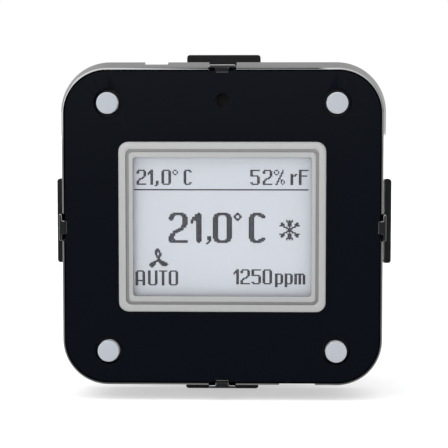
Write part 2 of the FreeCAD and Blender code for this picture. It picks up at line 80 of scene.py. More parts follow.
KEYS = ("key_top_left", "key_top_right", "key_bottom_left", "key_bottom_right")
LATCHES = ("latch_top", "latch_right", "latch_bottom", "latch_left")
MM = 0.001
SMALLEST_RADIUS = 1e-6
MERGE = 1e-7                         # closer vertices of a piece are one
CAD_MERGE = 1e-6                     # closer vertices of a CAD node are one
FLAT_WITHIN = math.radians(0.6)      # CAD faces that differ less in angle are one flat face
ROUNDED_FROM = math.radians(35)      # sharper edges are rounded
SHARP_FROM = math.radians(32)        # sharper edges stay sharp in shading


# Settings --------------------------------------

def length(name, description, default):
    """A size in metres, from a default in millimetres."""
    return FloatProperty(name=name, description=description, default=default * MM, min=0.0,
                         precision=6, unit="LENGTH")


def offset(name, description, default):
    """A place on either side of zero, from a default in millimetres."""
    return FloatProperty(name=name, description=description, default=default * MM, precision=6,
                         unit="LENGTH")


def turn(name, description, default):
    """An angle, from a default in degrees."""
    return FloatProperty(name=name, description=description, default=math.radians(default),
                         subtype="ANGLE")


def colour(name, description, default):
    """A colour in linear red, green and blue."""
    return FloatVectorProperty(name=name, description=description, default=default, size=3,
                               subtype="COLOR", min=0.0, max=4.0)


def share(name, description, default, top=1.0):
    """A number from 0 to top."""
    return FloatProperty(name=name, description=description, default=default, min=0.0, max=top,
                         subtype="FACTOR")


class PlateSettings(bpy.types.PropertyGroup):
    """Sizes of the front plate that its box doesn't give."""

    corner: length("Corner radius", "Radius of the plate's corners", 7.5)
    thickness: length("Thickness", "Front face to back face", 1.5)
    edge: length("Edge radius", "Rounding of the plate's outer edge", 0.16)
    hole_edge: length("Hole edge radius", "Rounding of the key holes", 0.1)
    port_edge: length("Port edge radius", "Rounding of the air port", 0.12)
    port_radius: length("Port radius", "Radius of the air port", 1.25)
    key_hole: length("Key hole radius", "Radius of each key's hole", 2.45)
    guide_wall: length("Guide wall", "Wall of the tube behind each key hole", 0.8)
    guide_bore: length("Guide bore", "Inner radius of the tube behind each key hole", 3.28)
    window_gap: length("Display gap", "Gap round the display frame", 0.05)
    tint: colour("Colour", "Colour of the plate's plastic", (0.001, 0.002, 0.0046))
    roughness: share("Roughness", "Roughness of the plate's satin face", 0.26)
    shine: share("Shine", "Strength of the plate's reflection", 0.03)


class ShellSettings(bpy.types.PropertyGroup):
    """Sizes of the front shell's wall and of its openings."""

    plate_gap: length("Plate gap", "Gap between the plate and the rim", 0.05)
    rim_width: length("Rim width", "Width of the rim's front face", 0.35)
    corner: length("Corner radius", "Radius of the rim's outer corners", 7.9)
    rear_corner: length("Rear corner radius", "Radius of the wall's rear corners", 8.75)
    wall: length("Wall", "Thickness of the wall at its rear edge", 1.45)
    ledge: length("Ledge", "Width and thickness of the ledge under the plate", 1.2)
    rim_bevel: length("Rim bevel", "Sloping face of the rim's front edge", 0.28)
    rear_edge: length("Rear edge radius", "Rounding of the wall's rear edge", 0.06)
    cut_edge: length("Cut edge radius", "Rounding of the openings' edges", 0.05)
    latch_slot: length("Latch slot", "Length of the slot for each latch", 4.8)
    notch_width: length("Top notch width", "Width of the notch in the top wall", 4.1)
    notch_place: offset("Top notch place", "Middle of the top notch across the width", -11.7)
    notch_depth: length("Top notch depth", "Depth of the notch from the rear edge", 2.4)
    pry_width: length("Pry slot width", "Width of the slot in the bottom wall", 6.3)
    pry_place: offset("Pry slot place", "Middle of the bottom slot across the width", 13.1)
    tint: colour("Colour", "Colour of the shell's plastic", (0.004, 0.0044, 0.0055))
    roughness: share("Roughness", "Roughness of the shell's polished wall", 0.14)


class HousingSettings(bpy.types.PropertyGroup):
    """Edges and finish of the rear housing and its latches."""

    edge: length("Edge radius", "Rounding of the housing's edges", 0.12)
    latch_edge: length("Latch bevel", "Sloping edges of the latches", 0.11)
    tint: colour("Colour", "Colour of the housing's plastic", (0.0045, 0.0047, 0.006))
    roughness: share("Roughness", "Roughness of the housing's plastic", 0.38)


class DisplaySettings(bpy.types.PropertyGroup):
    """Display frame, window and dot matrix."""

    corner: length("Frame corner radius", "Outer corner radius of the display frame", 1.7)
    edge: length("Frame edge radius", "Rounding of the frame's outer edge", 0.3)
    fine_edge: length("Fine edge radius", "Rounding of the groove's and opening's edges", 0.08)
    outer_ring: length("Outer ring", "Width of the frame's outer ring", 1.25)
    groove: length("Groove", "Width of the groove between the rings", 0.5)
    groove_depth: length("Groove depth", "Depth of the groove under the frame's front", 0.55)
    ring_drop: length("Inner ring drop", "Inner ring's front under the frame's front", 0.25)
    view_width: length("View width", "Width of the frame's opening", 31.0)
    view_height: length("View height", "Height of the frame's opening", 24.2)
    view_corner: length("View corner radius", "Corner radius of the frame's opening", 0.5)
    plate_back: length("Flange place", "Frame's rear edge to the flange's front", 0.8)
    flange: length("Flange", "How far the flange reaches past the frame", 1.0)
    wall: length("Frame wall", "Wall round the glass pocket", 1.0)
    roof: length("Roof", "Frame's front to the roof of its glass pocket", 1.1)
    frame_tint: colour("Frame colour", "Colour of the frame's plastic", (0.298, 0.301, 0.301))
    columns: IntProperty(name="Columns", description="Dots across the display", default=128, min=1)
    rows: IntProperty(name="Rows", description="Dots down the display", default=100, min=1)
    pitch: length("Dot pitch", "Distance from dot to dot", 0.242)
    gap: length("Dot gap", "Bare line between two dots", 0.008)
    dot_depth: length("Dot depth", "Thickness of a dark dot", 0.02)
    field: colour("Field colour", "Colour of the clear display", (0.478, 0.504, 0.551))
    ink: colour("Dot colour", "Colour of a dark dot", (0.011, 0.01, 0.017))
    glow: share("Glow", "Strength of the backlight", 0.05)


class KeySettings(bpy.types.PropertyGroup):
    """Key plungers."""

    edge: length("Edge radius", "Rounding of the tip's edge", 0.2)
    dome: length("Dome", "Rise of the tip's middle", 0.05)
    radius: length("Radius", "Radius of the plunger", 1.86)
    collar: length("Collar radius", "Radius of the collar behind the plate", 3.2)
    collar_thickness: length("Collar thickness", "Thickness of the collar", 0.8)
    collar_depth: length("Collar depth", "Tip to the collar's front", 3.3)
    stem: length("Stem radius", "Radius of the stem behind the collar", 1.5)
    # Behind the tip the key is painted dark, as painted shade in its hole.
    tip: length("Tip", "Length of the light tip, in front of the dark body", 2.0)
    tint: colour("Colour", "Colour of the keys' tips", (0.39, 0.415, 0.45))


class StageSettings(bpy.types.PropertyGroup):
    """Camera, floor and lights."""

    distance: length("Camera distance", "Camera to the point it looks at", 260.0)
    azimuth: turn("Azimuth", "Camera's turn to the right", 1.56)
    elevation: turn("Elevation", "Camera's angle above level", 4.3)
    lens: FloatProperty(name="Lens", description="Focal length on a 36 mm sensor", default=120.05)
    aim_right: offset("Aim right", "Aimed point, right of the device's axis", 0.31)
    aim_up: offset("Aim up", "Aimed point, above the device's axis", 0.61)
    key_light: FloatProperty(name="Key light", description="Watts of the front light", default=1.6)
    high_light: FloatProperty(name="High light", description="Watts of the light high in front",
                              default=0.6)
    ahead: share("Ahead", "Brightness of the room in front, high up", 0.55, 9.0)
    behind: share("Behind", "Brightness of the room behind", 0.45, 9.0)
    beside: share("Beside", "Brightness of the soft light round the sides", 5.0, 9.0)
    floor_glow: share("Floor glow", "Light that comes through the floor", 0.5)


# Mesh tools ------------------------------------

def rounded(width, height, radius, y, z=0.0, steps=16):
    """Points round a rounded rectangle at depth y."""
    radius = max(radius, SMALLEST_RADIUS)
    points = []
    for quarter, (side_x, side_z) in enumerate(((1, 1), (-1, 1), (-1, -1), (1, -1))):
        for step in range(steps + 1):
            angle = (quarter + step / steps) * math.pi / 2
            points.append((side_x * (width / 2 - radius) + radius * math.cos(angle), y,
                           z + side_z * (height / 2 - radius) + radius * math.sin(angle)))
    return points


def ring(radius, y, x, z, steps=64):
    """Points round a circle at depth y."""
    angles = [2 * math.pi * step / steps for step in range(steps)]
    return [(x + radius * math.cos(angle), y, z + radius * math.sin(angle)) for angle in angles]


def fillet(radius, steps=4):
    """Inset and drop of each point of a quarter round, from the face to the side."""
    angles = [math.pi / 2 * step / steps for step in range(steps + 1)]
    return [(radius * (1 - math.sin(angle)), radius * (1 - math.cos(angle))) for angle in angles]


def around(row):
    """Pairs of neighbours round a closed row."""
    return zip(row, row[1:] + row[:1])


def skin(mesh, loops, closed=False):
    """Faces between loops of points, and the rows of vertices."""
    rows = [[mesh.verts.new(point) for point in loop] for loop in loops]
    pairs = list(zip(rows, rows[1:]))
    if closed:
        pairs.append((rows[-1], rows[0]))
    for near, far in pairs:
        for (near_a, near_b), (far_a, far_b) in zip(around(near), around(far)):
            mesh.faces.new((near_a, near_b, far_b, far_a))
    return rows


def cap(mesh, rows):
    """Fill the flat face between an outer row and the rows of its holes."""
    edges = [mesh.edges.get(pair) for row in rows for pair in around(row)]
    bmesh.ops.triangle_fill(mesh, edges=edges, use_beauty=True, use_dissolve=False,
                            normal=(0, -1, 0))


def lathe(mesh, profile, x, z):
    """Closed turned solid from (radius, y) points, with a pole at each end."""
    rows = skin(mesh, [ring(radius, y, x, z) for radius, y in profile[1:-1]])
    for row, (_, y) in ((rows[0], profile[0]), (rows[-1], profile[-1])):
        pole = mesh.verts.new((x, y, z))
        for near, far in around(row):
            mesh.faces.new((near, far, pole))


def piece(name, mesh, finish):
    """An object at the origin from a bmesh, with its faces turned outwards."""
    bmesh.ops.remove_doubles(mesh, verts=mesh.verts, dist=MERGE)
    bmesh.ops.recalc_face_normals(mesh, faces=mesh.faces)
    data = bpy.data.meshes.new(name)
    mesh.to_mesh(data)
    mesh.free()
    made = bpy.data.objects.new(name, data)
    bpy.context.scene.collection.objects.link(made)
    data.materials.append(finish)
    return made


def settle(made):
    """Make the result of the modifiers the piece's own mesh."""
    graph = bpy.context.evaluated_depsgraph_get()
    mesh = bpy.data.meshes.new_from_object(made.evaluated_get(graph))
    made.modifiers.clear()
    made.data = mesh
    mesh.name = made.name


def carve(made, boxes):
    """Cut boxes, each given as lowest and highest corner, out of a piece."""
    mesh = bmesh.new()
    for low, high in boxes:
        middle, size = (Vector(low) + Vector(high)) / 2, Vector(high) - Vector(low)
        for vertex in bmesh.ops.create_cube(mesh, size=1.0)["verts"]:
            vertex.co = middle + Vector(a * b for a, b in zip(vertex.co, size))
    cutter = piece(made.name + ".cutter", mesh, made.data.materials[0])
    cut = made.modifiers.new("cut", "BOOLEAN")
    cut.operation = "DIFFERENCE"
    cut.solver = "EXACT"
    cut.object = cutter
    settle(made)
    bpy.data.objects.remove(cutter)


def soften(made, edge, segments=2):
    """Round the sharp edges of a piece."""
    bevel = made.modifiers.new("edges", "BEVEL")
    bevel.width = edge
    bevel.segments = segments
    bevel.limit_method = "ANGLE"
    bevel.angle_limit = ROUNDED_FROM
    bevel.miter_outer = "MITER_ARC"
    settle(made)


def smooth(made):
    """Smooth shading that keeps sharp edges sharp and flat faces flat."""
    mesh = made.data
    mesh.polygons.foreach_set("use_smooth", [True] * len(mesh.polygons))
    mesh.set_sharp_from_angle(angle=SHARP_FROM)
    weigh = made.modifiers.new("normals", "WEIGHTED_NORMAL")
    weigh.keep_sharp = True
    weigh.weight = 80


def refined(node, edge, finish, segments=2, name=None):
    """A merged copy of a CAD node with its edges rounded."""
    mesh = bmesh.new()
    mesh.from_mesh(frame["nodes"][node].data)
    bmesh.ops.remove_doubles(mesh, verts=mesh.verts, dist=CAD_MERGE)
    bmesh.ops.dissolve_limit(mesh, angle_limit=FLAT_WITHIN, verts=mesh.verts, edges=mesh.edges,
                             use_dissolve_boundaries=False)
    made = piece(name or node + "_piece", mesh, finish)
    soften(made, edge, segments)
    smooth(made)
    return made


def axis_of(box):
    """X and Z of the middle of a CAD node's box."""
    low, high = box
    return (low.x + high.x) / 2, (low.z + high.z) / 2


def attach(made, body, *nodes):
    """Fix a piece to its body, in place of CAD nodes."""
    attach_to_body(made, body)
    if nodes:
        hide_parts(*nodes)
    return made


def repaint(node, finish):
    """Give a CAD node a finish of its own."""
    node.data.materials.clear()
    node.data.materials.append(finish)


# Finishes --------------------------------------

# Sockets of a Mix node for colours
MIX_SHARE, MIX_FIRST, MIX_SECOND, MIX_RESULT = 0, 6, 7, 2
# Specular level of the darkest plastics and of the others
LEAST_SHINE, USUAL_SHINE = 0.1, 0.5
# Facing, 0 where a face points at the viewer, at which the clear skin starts and is full
GLOSS_START, GLOSS_FULL = 0.06, 0.26
TRACK_PITCH = 1.27 * MM
STREAKS_ALONG_X = (0.2, 1, 1)
STREAKS_ALONG_Y = (1, 0.1, 1)
WHITE = (1, 1, 1, 1)


def add_node(tree, kind, sockets=None, **settings):
    """A node with its settings, and the values and links of its sockets."""
    made = tree.nodes.new(kind)
    for name, value in settings.items():
        setattr(made, name, value)
    for name, value in (sockets or {}).items():
        if isinstance(value, Value):
            value = value.socket
        if isinstance(value, bpy.types.NodeSocket):
            tree.links.new(value, made.inputs[name])
        else:
            made.inputs[name].default_value = value
    return made


class Value:
    """A number socket that adds Math nodes as an expression is worked out."""

    def __init__(self, tree, socket):
        self.tree = tree
        self.socket = socket

    def apply(self, operation, *terms):
        node = add_node(self.tree, "ShaderNodeMath", dict(enumerate(terms)), operation=operation)
        return Value(self.tree, node.outputs[0])

    def __add__(self, other):
        return self.apply("ADD", self, other)

    def __radd__(self, other):
        return self.apply("ADD", other, self)

    def __sub__(self, other):
        return self.apply("SUBTRACT", self, other)

    def __rsub__(self, other):
        return self.apply("SUBTRACT", other, self)

    def __mul__(self, other):
        return self.apply("MULTIPLY", self, other)

    def __truediv__(self, other):
        return self.apply("DIVIDE", self, other)

    def __lt__(self, other):
        return self.apply("LESS_THAN", self, other)

    def __gt__(self, other):
        return self.apply("GREATER_THAN", self, other)

    def fraction(self):
        return self.apply("FRACT", self)

    def size(self):
        return self.apply("ABSOLUTE", self)

    def ramp(self, start, end, top=1.0):
        """A smooth change from 0 at start to top at end."""
        node = add_node(self.tree, "ShaderNodeMapRange",
                        {"Value": self, "From Min": start, "From Max": end, "To Max": top},
                        interpolation_type="SMOOTHSTEP")
        return Value(self.tree, node.outputs[0])


class Finish:
    """A procedural material round one Principled shader, patterned on Object coordinates."""

    def __init__(self, name, **values):
        self.material = bpy.data.materials.new(name)
        self.material.use_nodes = True
        self.tree = self.material.node_tree
        self.shader = self.tree.nodes["Principled BSDF"]
        for socket, value in values.items():
            self.shader.inputs[socket.replace("_", " ")].default_value = value
        self.place = self.node("ShaderNodeTexCoord").outputs["Object"]

    def node(self, kind, sockets=None, **settings):
        return add_node(self.tree, kind, sockets, **settings)

    def noise(self, size, detail=2.0, stretch=(1, 1, 1)):
        """Noise from 0 to 1 whose blotches are about size across."""
        turned = self.node("ShaderNodeMapping", {"Vector": self.place, "Scale": stretch})
        made = self.node("ShaderNodeTexNoise",
                         {"Vector": turned.outputs[0], "Scale": 1 / size, "Detail": detail})
        return Value(self.tree, made.outputs["Fac"])

    def axis(self, name):
        """One Object coordinate."""
        split = self.node("ShaderNodeSeparateXYZ", {"Vector": self.place})
        return Value(self.tree, split.outputs[name])

    def blend(self, mask, first, second, kind="MIX"):
        """A colour between two colours, the first of which may be a socket."""
        if not isinstance(first, bpy.types.NodeSocket):
            first = (*first, 1.0)
        mixed = self.node("ShaderNodeMix",
                          {MIX_SHARE: mask, MIX_FIRST: first, MIX_SECOND: (*second, 1.0)},
                          data_type="RGBA", blend_type=kind)
        return mixed.outputs[MIX_RESULT]

    def tones(self, mask, tint, low, high):
        """The tint at a brightness between low and high."""
        return self.blend(mask, shade(tint, low), shade(tint, high))

    def feed(self, value, *names):
        """Link a number or a colour to sockets of the shader."""
        socket = value.socket if isinstance(value, Value) else value
        for name in names:
            self.tree.links.new(socket, self.shader.inputs[name])

    def roughen(self, middle, *swings):
        """Roughness round a middle, from pairs of a mask and the width of its swing."""
        for mask, swing in swings:
            middle = middle + (mask - 0.5) * swing
        self.feed(middle, "Roughness")

    def emboss(self, height, depth, strength=1.0):
        """Bump from a height of 0 to 1."""
        bump = self.node("ShaderNodeBump",
                         {"Height": height, "Distance": depth, "Strength": strength})
        self.feed(bump.outputs[0], "Normal")


def shade(tint, factor):
    return tuple(channel * factor for channel in tint)


def moulded(name, tint, roughness, grain=0.25 * MM, depth=0.004 * MM, spread=0.08, rear=None,
            gloss=0.0, **values):
    """Moulded plastic: faint flow marks, and the fine grain that the tool leaves.

    rear is a depth and a darker colour painted behind it, as painted shade in grooves and holes.
    gloss is the clear skin on faces that slope away.
    """
    finish = Finish(name, **values)
    flow = finish.noise(9 * MM, detail=3.0, stretch=(1.0, 1.0, 0.6))
    fine = finish.noise(grain, detail=3.0)
    tone = finish.tones(flow, tint, 1 - spread, 1 + spread)
    # Painted shade: behind the rear depth the tint gives way to a darker colour.
    if rear:
        start, behind = rear
        tone = finish.blend(finish.axis("Y") > start, tone, behind)
    finish.feed(tone, "Base Color")
    finish.roughen(roughness, (fine, 0.12), (flow, 0.06))
    finish.emboss(fine, depth)
    if gloss:
        facing = finish.node("ShaderNodeLayerWeight", {"Blend": 0.5}).outputs["Facing"]
        slope = Value(finish.tree, facing)
        finish.feed(slope.ramp(GLOSS_START, GLOSS_FULL, gloss), "Coat Weight")
    return finish.material


def polished(name, settings):
    """Black plastic from a polished tool, which mirrors the room at its edges."""
    return moulded(name, settings.tint, settings.roughness, grain=0.5 * MM, depth=0.0008 * MM,
                   gloss=1.0, Specular_IOR_Level=0.12, Coat_Roughness=0.08, Coat_IOR=1.8)


def metal(name, tint, roughness, stretch=(1, 1, 1)):
    """Plated or rolled metal with fine streaks."""
    finish = Finish(name, Metallic=1.0)
    streak = finish.noise(0.3 * MM, detail=3.0, stretch=stretch)
    finish.feed(finish.tones(streak, tint, 0.9, 1.1), "Base Color")
    finish.roughen(roughness, (streak, 0.2))
    finish.emboss(streak, 0.002 * MM)
    return finish.material


def board(name, tint):
    """Solder mask over copper tracks."""
    finish = Finish(name, Coat_Weight=0.4, Coat_Roughness=0.15)
    tracks = (finish.axis("X") / TRACK_PITCH + finish.noise(6 * MM, detail=0) * 3).fraction() < 0.4
    cloud = finish.noise(4 * MM)
    base = finish.blend(tracks, tint, shade(tint, 1.35))
    finish.feed(finish.blend(cloud * 0.3, base, (0.8, 0.9, 0.8), "MULTIPLY"), "Base Color")
    finish.roughen(0.32, (cloud, 0.1))
    finish.emboss(tracks, 0.02 * MM, strength=0.4)
    return finish.material


def pane(name, tint, opacity, roughness, **values):
    """Clear sheet with a hardly visible haze."""
    finish = Finish(name, Alpha=opacity, IOR=1.5, **values)
    haze = finish.noise(5 * MM)
    finish.feed(finish.tones(haze, tint, 0.96, 1.0), "Base Color")
    finish.roughen(roughness, (haze, 0.04))
    return finish.material


def dot_film(name, settings, left, top):
    """Polariser over the dot matrix, with a faint grid of lighter lines between the dots."""
    finish = Finish(name, Coat_Weight=0.2, Coat_Roughness=0.25, Emission_Strength=settings.glow)
    bare = settings.gap / settings.pitch
    across = ((finish.axis("X") - left) / settings.pitch).fraction() < bare
    down = ((top - finish.axis("Z")) / settings.pitch).fraction() < bare
    cloud = finish.noise(8 * MM)
    dots = finish.tones(cloud, settings.field, 0.985, 1.015)
    tone = finish.blend((across + down) * 0.5, dots, shade(settings.field, 1.06))
    finish.feed(tone, "Base Color", "Emission Color")
    finish.roughen(0.4, (cloud, 0.05))
    return finish.material


def sponge(name, tint, cell):
    """Foam or membrane with open cells."""
    finish = Finish(name)
    cells = finish.node("ShaderNodeTexVoronoi", {"Vector": finish.place, "Scale": 1 / cell})
    hollow = Value(finish.tree, cells.outputs["Distance"])
    finish.feed(finish.tones(hollow, tint, 0.6, 1.2), "Base Color")
    finish.roughen(0.9, (hollow, 0.1))
    finish.emboss(hollow, 0.05 * MM)
    return finish.material


def inner_finishes():
    """Finishes of the pieces inside, by material slot. Dark plastics shine less."""
    grained = {
        "light_plastic": ((0.8, 0.83, 0.85), 0.2), "white_film": ((0.82, 0.82, 0.81), 0.5),
        "white_plastic": ((0.72, 0.72, 0.7), 0.45), "amber_film": ((0.45, 0.2, 0.035), 0.3),
        "chip_black": ((0.018, 0.018, 0.018), 0.5), "switch_black": ((0.02, 0.02, 0.023), 0.45),
        "switch_cap": ((0.4, 0.045, 0.03), 0.4), "ferrite": ((0.035, 0.034, 0.036), 0.6),
        "soft_tube": ((0.012, 0.012, 0.012), 0.7),
    }
    metals = {
        "screw_steel": ((0.6, 0.6, 0.62), 0.3),
        "tinned_pin": ((0.75, 0.74, 0.7), 0.22, STREAKS_ALONG_Y),
        "gold_cell": ((0.83, 0.6, 0.22), 0.28, STREAKS_ALONG_X),
        "capacitor_can": ((0.78, 0.78, 0.79), 0.3, STREAKS_ALONG_Y),
    }
    made = {slot: moulded(slot, tint, roughness,
                          Specular_IOR_Level=min(USUAL_SHINE, LEAST_SHINE + tint[0]))
            for slot, (tint, roughness) in grained.items()}
    made.update({slot: metal(slot, *values) for slot, values in metals.items()})
    made["circuit_board"] = board("circuit_board", (0.012, 0.085, 0.035))
    made["lcd_glass"] = pane("lcd_glass", (0.7, 0.74, 0.78), 0.5, 0.08)
    made["foam"] = sponge("foam", (0.03, 0.03, 0.03), 0.2 * MM)
    made["membrane"] = sponge("membrane", (0.75, 0.75, 0.73), 0.3 * MM)
    return made


# Display contents ------------------------------

# Rows of dots from top to bottom; a number and a star before a row repeat it
GLYPHS = {
    "0": ".#####. 9*##...## .#####.",
    "1": "..## .### #### #.## 7*..##",
    "2": ".#####. 2*##...## 2*.....## ....##. ..###.. .##.... 2*##..... #######",
    "5": "####### 3*##..... ######. 4*.....## ##...## .#####.",
    ",": "8*. 3*.## ##.",
    "o": ".##. 2*#..# .##.",
    "C": ".####. ##..## 7*##.... ##..## .####.",
    "%": """
.##...#.
#..#..#.
#..#.##.
.##..#..
....##..
....#...
...##...
...#.##.
..##.#.#
..#..#.#
.##...#.""",
    "r": "3*. ##.## ####. 6*##...",
    "F": "####### 3*##..... ######. 6*##.....",
    "A": ".#####. 6*##...## ####### 3*##...##",
    "U": "10*##...## .#####.",
    "T": "###### 10*..##..",
    "p": "3*. #####. 6*##..## #####. 2*##....",
    "m": "3*. #######. 7*##.##.##",
    "degree": "..##.. .####. 2*##..## .####. ..##..",
    "snow": """
.....#.#.#.....
.....#####.....
.##...###...##.
.###..###..###.
####..###..####
...###.#.###...
.....#####.....
......###......
.....#####.....
...###.#.###...
####..###..####
.###..###..###.
.##...###...##.
.....#####.....
.....#.#.#.....""",
    "fan": """
......##.......
.....####......
.....####......
.....##.##.....
.....##.##.....
......####.....
......###......
.......##......
......####.....
....########...
..####..######.
.#####...######
.####.....####.
..##...........""",
    "big_comma": "3*.### ..## .##. ##..",
}

# Glyph, column of its left edge, row of its top edge, and whether it is drawn double size. The
# letter O is the zero.
LAYOUT = (
    ("2", 2, 9, 0), ("1", 10, 9, 0), (",", 15, 9, 0), ("0", 20, 9, 0), ("o", 28, 9, 0),
    ("C", 36, 9, 0), ("5", 84, 9, 0), ("2", 93, 9, 0), ("%", 101, 9, 0), ("r", 113, 9, 0),
    ("F", 119, 9, 0), ("2", 25, 40, 1), ("1", 41, 40, 1), ("big_comma", 52, 57, 0),
    ("0", 57, 40, 1), ("degree", 72, 40, 0), ("C", 83, 40, 1), ("snow", 105, 45, 0),
    ("fan", 10, 66, 0), ("A", 1, 82, 0), ("U", 10, 82, 0), ("T", 18, 82, 0), ("0", 25, 82, 0),
    ("1", 72, 81, 0), ("2", 77, 81, 0), ("5", 85, 81, 0), ("0", 93, 81, 0), ("p", 102, 81, 0),
    ("p", 109, 81, 0), ("m", 116, 81, 0),
)
RULE_ROW = 23
RULE_COLUMNS = 126


def glyph_dots(name):
    """Dark dots of a glyph as (column, row)."""
    rows = []
    for word in GLYPHS[name].split():
        times, _, line = word.rpartition("*")
        rows += [line] * int(times or 1)
    return {(column, row) for row, line in enumerate(rows)
            for column, mark in enumerate(line) if mark == "#"}


def doubled(dots):
    """The glyph at twice the size, with its diagonals filled in."""
    columns = range(max(column for column, _ in dots) + 1)
    rows = range(max(row for _, row in dots) + 1)
    made = set()
    for column in columns:
        for row in rows:
            own = (column, row) in dots
            up, down = (column, row - 1) in dots, (column, row + 1) in dots
            left, right = (column - 1, row) in dots, (column + 1, row) in dots
            for across, beside, other in ((0, left, right), (1, right, left)):
                for below, above, under in ((0, up, down), (1, down, up)):
                    corner = beside == above and beside != under and above != other
                    if above if corner else own:
                        made.add((2 * column + across, 2 * row + below))
    return made


def dark_dots():
    """Every dark dot of the display as (column, row)."""
    made = {(column, RULE_ROW) for column in range(RULE_COLUMNS)}
    for name, left, top, double in LAYOUT:
        dots = doubled(glyph_dots(name)) if double else glyph_dots(name)
        made |= {(left + column, top + row) for column, row in dots}
    return sorted(made)


def dot_tree(finish):
    """Geometry Nodes that set one flat dot on each point."""
    tree = bpy.data.node_groups.new("display_dots", "GeometryNodeTree")
    tree.interface.new_socket("Points", in_out="INPUT", socket_type="NodeSocketGeometry")
    for name in ("Dot width", "Dot depth"):
        tree.interface.new_socket(name, in_out="INPUT", socket_type="NodeSocketFloat")
    tree.interface.new_socket("Dots", in_out="OUTPUT", socket_type="NodeSocketGeometry")
    given = tree.nodes.new("NodeGroupInput").outputs
    size = add_node(tree, "ShaderNodeCombineXYZ", {
        "X": given["Dot width"], "Y": given["Dot depth"], "Z": given["Dot width"]})
    cube = add_node(tree, "GeometryNodeMeshCube", {"Size": size.outputs[0]})
    laid = add_node(tree, "GeometryNodeInstanceOnPoints", {
        "Points": given["Points"], "Instance": cube.outputs["Mesh"]})
    real = add_node(tree, "GeometryNodeRealizeInstances", {0: laid.outputs[0]})
    painted = add_node(tree, "GeometryNodeSetMaterial", {
        "Geometry": real.outputs[0], "Material": finish})
    add_node(tree, "NodeGroupOutput", {"Dots": painted.outputs[0]})
    return tree


def grow(made, tree, **sizes):
    """Run a node tree on a piece and keep the result as its plain mesh."""
    modifier = made.modifiers.new(tree.name, "NODES")
    modifier.node_group = tree
    for item in tree.interface.items_tree:
        size_name = item.name.replace(" ", "_").lower()
        if item.in_out == "INPUT" and size_name in sizes:
            modifier[item.identifier] = sizes[size_name]
    settle(made)


# Pieces ----------------------------------------

class MONITOR_OT_plate(bpy.types.Operator):
    """Front plate with its key holes, air port and key guides."""

    bl_idname = "monitor.plate"
    bl_label = "Front plate"

    def execute(self, context):
        given = context.scene.monitor_plate
        low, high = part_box("front_plate")
        width, height, front = high.x - low.x, high.z - low.z, low.y
        back, guide_end = front + given.thickness, high.y
        guide = given.guide_bore + given.guide_wall
        mesh = bmesh.new()
        loops = [rounded(width - 2 * inset, height - 2 * inset, given.corner - inset, front + drop)
                 for inset, drop in fillet(given.edge)]
        loops.append(rounded(width, height, given.corner, back))
        walls = [skin(mesh, loops)]

        def bore(box, radius, edge, *behind):
            """A round hole on the axis of a box, and (radius, y) points behind the plate."""
            profile = [(radius + inset, front + drop) for inset, drop in fillet(edge)]
            profile += [(radius, back), *behind]
            walls.append(skin(mesh, [ring(*point, *axis_of(box)) for point in profile]))

        for key in KEYS:
            bore(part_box(key), given.key_hole, given.hole_edge, (given.guide_bore, back),
                 (given.guide_bore, guide_end), (guide, guide_end), (guide, back))
        bore(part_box("sensor_tube"), given.port_radius, given.port_edge)
        corner = context.scene.monitor_display.corner + given.window_gap
        size_x, size_z, middle = display_opening(given.window_gap)
        walls.append(skin(mesh, [rounded(size_x, size_z, corner, y, middle)
                                 for y in (front, back)]))
        cap(mesh, [rows[0] for rows in walls])
        cap(mesh, [rows[-1] for rows in walls])
        finish = moulded("plate_plastic", given.tint, given.roughness, grain=0.16 * MM,
                         depth=0.002 * MM, gloss=0.3, Specular_IOR_Level=given.shine,
                         Coat_Roughness=0.1, Coat_IOR=1.6)
        made = piece("plate", mesh, finish)
        smooth(made)
        attach(made, "housing", "front_plate")
        return {"FINISHED"}


def display_opening(gap=0.0):
    """Width, height and middle of the display frame, whose flange is wider than what shows."""
    low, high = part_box("display_frame")
    flange = bpy.context.scene.monitor_display.flange
    return (high.x - low.x - 2 * flange + 2 * gap, high.z - low.z - 2 * flange + 2 * gap,
            (low.z + high.z) / 2)


